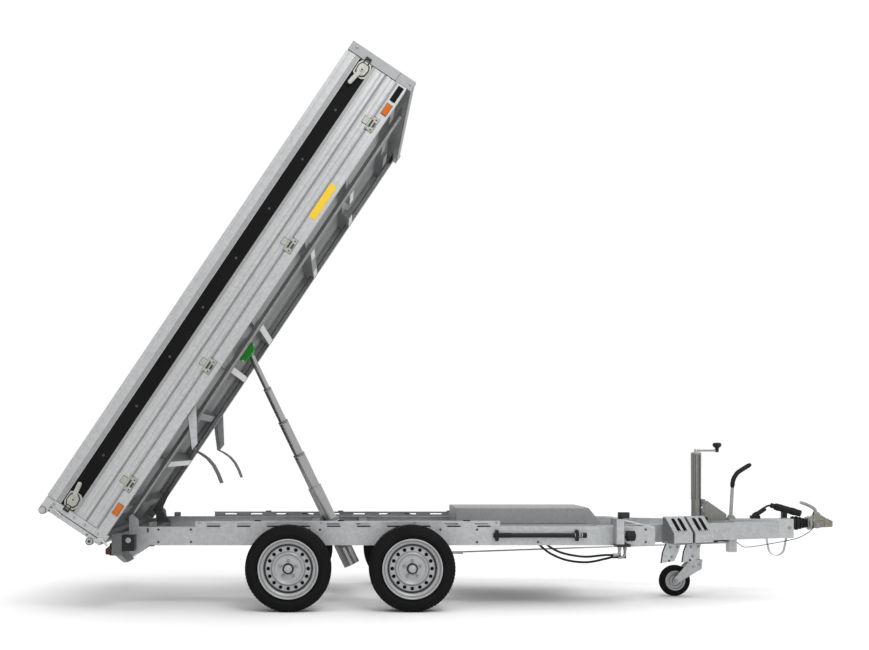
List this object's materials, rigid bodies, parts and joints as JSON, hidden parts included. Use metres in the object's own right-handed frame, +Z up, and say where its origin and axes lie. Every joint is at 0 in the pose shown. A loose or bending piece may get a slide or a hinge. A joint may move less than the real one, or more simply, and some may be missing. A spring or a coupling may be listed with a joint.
{
  "type": "tipping trailer",
  "caption": "Tandem-axle tipping trailer with a hollow drop-side load bed raised on a telescopic cylinder, drawbar, jack and chocks.",
  "frame": {"origin": "bottom centre of the space that the trailer takes, on the ground", "axes": "+X forwards along the drawbar, +Y to the left, +Z up"},
  "size_m": [5.103, 1.892, 3.4264],
  "materials": {
    "galvanised": "hot-dip galvanised, faint spangle",
    "sheet_steel": "galvanised sheet, lightly weathered",
    "chrome_rod": "ground and chromed",
    "tyre": "moulded road tyre",
    "rubber": "moulded black rubber",
    "black_plastic": "moulded black plastic",
    "rim_silver": "silver wheel paint",
    "green_paint": "bright green paint",
    "black_steel": "black paint",
    "red_lens": "red lamp lens",
    "zinc": "zinc plated"
  },
  "bodies": {
    "chassis": {"axle_front": "galvanised", "axle_rear": "galvanised", "brake_rod": "galvanised", "breakaway_cable": "black_plastic", "chassis_rail_left": "galvanised", "chassis_rail_right": "galvanised", "coupling_head": "zinc", "cover_tray": "galvanised", "drawbar_leg_left": "galvanised", "drawbar_leg_right": "galvanised", "drawbar_nose": "galvanised", "front_crossbeam": "galvanised", "gaiter": "rubber", "hand_pump": "black_steel", "handbrake_lever": "galvanised", "hinge_crossbeam": "galvanised", "hydraulic_cover": "sheet_steel", "hydraulic_hose_1": "rubber", "hydraulic_hose_2": "rubber", "jack_tube": "galvanised", "lamp_beam": "galvanised", "lift_cradle": "galvanised", "lift_crossbeam": "galvanised", "plug_and_cable": "black_plastic", "pump_handle": "black_plastic", "tail_lamp_left": "red_lens", "tail_lamp_right": "red_lens", "wheel_chock_1": "galvanised", "wheel_chock_2": "galvanised"},
    "bed": {"ball_seat": "green_paint", "bed_deck": "sheet_steel", "bed_rim_left": "sheet_steel", "bed_rim_right": "sheet_steel", "headboard": "sheet_steel", "longeron_left": "galvanised", "longeron_right": "galvanised", "mudflap_left": "sheet_steel", "mudflap_right": "sheet_steel"},
    "tailgate": {"tailgate": "sheet_steel"},
    "side_left": {"side_board_left": "sheet_steel", "side_strip_left": "black_plastic"},
    "side_right": {"side_board_right": "sheet_steel", "side_strip_right": "black_plastic"},
    "cylinder_barrel": {"cylinder_barrel": "black_steel"},
    "jack_leg": {"jack_inner_tube": "chrome_rod"},
    "jockey_fork": {"jockey_fork": "galvanised"},
    "jockey_wheel": {"jockey_wheel": "rubber"},
    "cylinder_stage_1": {"cylinder_stage_1": "chrome_rod"},
    "cylinder_stage_2": {"cylinder_stage_2": "chrome_rod"},
    "cylinder_stage_3": {"cylinder_stage_3": "chrome_rod"},
    "cylinder_stage_4": {"cylinder_stage_4": "chrome_rod"},
    "cylinder_stage_5": {"cylinder_stage_5": "chrome_rod"},
    "wheel_rear_left": {"tyre_rear_left": "tyre", "rim_rear_left": "rim_silver"},
    "wheel_rear_right": {"tyre_rear_right": "tyre", "rim_rear_right": "rim_silver"},
    "wheel_front_left": {"tyre_front_left": "tyre", "rim_front_left": "rim_silver"},
    "wheel_front_right": {"tyre_front_right": "tyre", "rim_front_right": "rim_silver"}
  },
  "joints": [
    {"name": "bed", "type": "hinge", "parent": "chassis", "child": "bed", "pos_m": [-2.04781, 0, 0.5476], "axis": [0, 1, 0], "range_deg": [0, 56.1]},
    {"name": "cylinder_lean", "type": "hinge", "parent": "chassis", "child": "cylinder_barrel", "pos_m": [-0.74151, 0, 0.36], "axis": [0, 1, 0], "range_deg": [0, 19.49]},
    {"name": "stage_1", "type": "slide", "parent": "cylinder_barrel", "child": "cylinder_stage_1", "axis": [-0.4346, 0, 0.9006], "range_m": [-0.2385, 0]},
    {"name": "stage_2", "type": "slide", "parent": "cylinder_stage_1", "child": "cylinder_stage_2", "axis": [-0.4346, 0, 0.9006], "range_m": [-0.2385, 0]},
    {"name": "stage_3", "type": "slide", "parent": "cylinder_stage_2", "child": "cylinder_stage_3", "axis": [-0.4346, 0, 0.9006], "range_m": [-0.2385, 0]},
    {"name": "stage_4", "type": "slide", "parent": "cylinder_stage_3", "child": "cylinder_stage_4", "axis": [-0.4346, 0, 0.9006], "range_m": [-0.2385, 0]},
    {"name": "stage_5", "type": "slide", "parent": "cylinder_stage_4", "child": "cylinder_stage_5", "axis": [-0.4346, 0, 0.9006], "range_m": [-0.2385, 0]},
    {"name": "tailgate", "type": "hinge", "parent": "bed", "child": "tailgate", "pos_m": [-2.52749, 0, 0.62355], "axis": [0, 1, 0], "range_deg": [0, 90]},
    {"name": "side_left", "type": "hinge", "parent": "bed", "child": "side_left", "pos_m": [-1.31181, 0.938, 1.84638], "axis": [-0.5577, 0, -0.83], "range_deg": [0, 170]},
    {"name": "side_right", "type": "hinge", "parent": "bed", "child": "side_right", "pos_m": [-1.31181, -0.938, 1.84638], "axis": [0.5577, 0, 0.83], "range_deg": [0, 170]},
    {"name": "wheel_rear_left", "type": "hinge", "parent": "chassis", "child": "wheel_rear_left", "pos_m": [-1.06601, 0.7725, 0.2625], "axis": [0, 1, 0], "continuous": true},
    {"name": "wheel_rear_right", "type": "hinge", "parent": "chassis", "child": "wheel_rear_right", "pos_m": [-1.06601, -0.7725, 0.2625], "axis": [0, 1, 0], "continuous": true},
    {"name": "wheel_front_left", "type": "hinge", "parent": "chassis", "child": "wheel_front_left", "pos_m": [-0.31401, 0.7725, 0.2625], "axis": [0, 1, 0], "continuous": true},
    {"name": "wheel_front_right", "type": "hinge", "parent": "chassis", "child": "wheel_front_right", "pos_m": [-0.31401, -0.7725, 0.2625], "axis": [0, 1, 0], "continuous": true},
    {"name": "jack_leg", "type": "slide", "parent": "chassis", "child": "jack_leg", "axis": [0, 0, 1], "range_m": [0, 0.125]},
    {"name": "jockey_swivel", "type": "hinge", "parent": "jack_leg", "child": "jockey_fork", "pos_m": [1.64499, 0, 0.2], "axis": [0, 0, 1], "continuous": true},
    {"name": "jockey_wheel", "type": "hinge", "parent": "jockey_fork", "child": "jockey_wheel", "pos_m": [1.49959, 0, 0.105], "axis": [0, 1, 0], "continuous": true}
  ],
  "couplings": [
    {"joint": "cylinder_lean", "follows": "bed", "ratio": 0.34746},
    {"joint": "stage_1", "follows": "bed", "m_per_rad": -0.24359},
    {"joint": "stage_2", "follows": "bed", "m_per_rad": -0.24359},
    {"joint": "stage_3", "follows": "bed", "m_per_rad": -0.24359},
    {"joint": "stage_4", "follows": "bed", "m_per_rad": -0.24359},
    {"joint": "stage_5", "follows": "bed", "m_per_rad": -0.24359}
  ]
}
